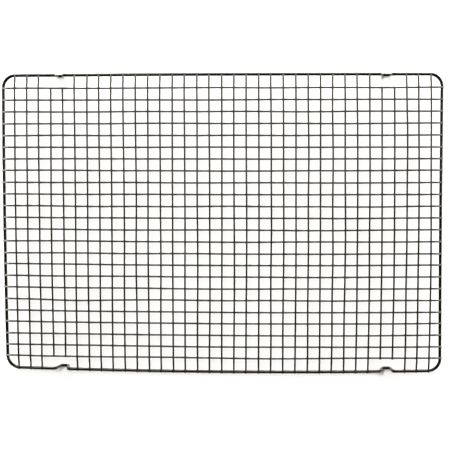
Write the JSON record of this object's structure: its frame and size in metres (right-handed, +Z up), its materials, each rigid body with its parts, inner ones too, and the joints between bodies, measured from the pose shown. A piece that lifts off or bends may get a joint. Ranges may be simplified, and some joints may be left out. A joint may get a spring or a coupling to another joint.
{
  "type": "cooling rack",
  "caption": "Flat rectangular wire rack for cooling baked goods: a close grid of thin wires on a thicker rounded border wire, with a narrow U-shaped foot bent in it near each corner.",
  "frame": {"origin": "centre of the border, on the surface that the feet stand on", "axes": "+X along the long sides, +Y along the short sides, +Z up"},
  "size_m": [0.456, 0.3118, 0.0254],
  "materials": {
    "nonstick_coating": "dark charcoal non-stick coating on steel wire, semi-gloss"
  },
  "bodies": {
    "root": {"border_wire": "nonstick_coating", "long_wire_01": "nonstick_coating", "long_wire_02": "nonstick_coating", "long_wire_03": "nonstick_coating", "long_wire_04": "nonstick_coating", "long_wire_05": "nonstick_coating", "long_wire_06": "nonstick_coating", "long_wire_07": "nonstick_coating", "long_wire_08": "nonstick_coating", "long_wire_09": "nonstick_coating", "long_wire_10": "nonstick_coating", "long_wire_11": "nonstick_coating", "long_wire_12": "nonstick_coating", "long_wire_13": "nonstick_coating", "long_wire_14": "nonstick_coating", "long_wire_15": "nonstick_coating", "long_wire_16": "nonstick_coating", "long_wire_17": "nonstick_coating", "long_wire_18": "nonstick_coating", "long_wire_19": "nonstick_coating", "long_wire_20": "nonstick_coating", "long_wire_21": "nonstick_coating", "long_wire_22": "nonstick_coating", "long_wire_23": "nonstick_coating", "long_wire_24": "nonstick_coating", "cross_wire_01": "nonstick_coating", "cross_wire_02": "nonstick_coating", "cross_wire_03": "nonstick_coating", "short_cross_wire_04": "nonstick_coating", "short_cross_wire_05": "nonstick_coating", "cross_wire_06": "nonstick_coating", "cross_wire_07": "nonstick_coating", "cross_wire_08": "nonstick_coating", "cross_wire_09": "nonstick_coating", "cross_wire_10": "nonstick_coating", "cross_wire_11": "nonstick_coating", "cross_wire_12": "nonstick_coating", "cross_wire_13": "nonstick_coating", "cross_wire_14": "nonstick_coating", "cross_wire_15": "nonstick_coating", "cross_wire_16": "nonstick_coating", "cross_wire_17": "nonstick_coating", "cross_wire_18": "nonstick_coating", "cross_wire_19": "nonstick_coating", "cross_wire_20": "nonstick_coating", "cross_wire_21": "nonstick_coating", "cross_wire_22": "nonstick_coating", "cross_wire_23": "nonstick_coating", "cross_wire_24": "nonstick_coating", "cross_wire_25": "nonstick_coating", "cross_wire_26": "nonstick_coating", "cross_wire_27": "nonstick_coating", "cross_wire_28": "nonstick_coating", "cross_wire_29": "nonstick_coating", "cross_wire_30": "nonstick_coating", "short_cross_wire_31": "nonstick_coating", "short_cross_wire_32": "nonstick_coating", "cross_wire_33": "nonstick_coating", "cross_wire_34": "nonstick_coating", "cross_wire_35": "nonstick_coating"}
  },
  "joints": []
}
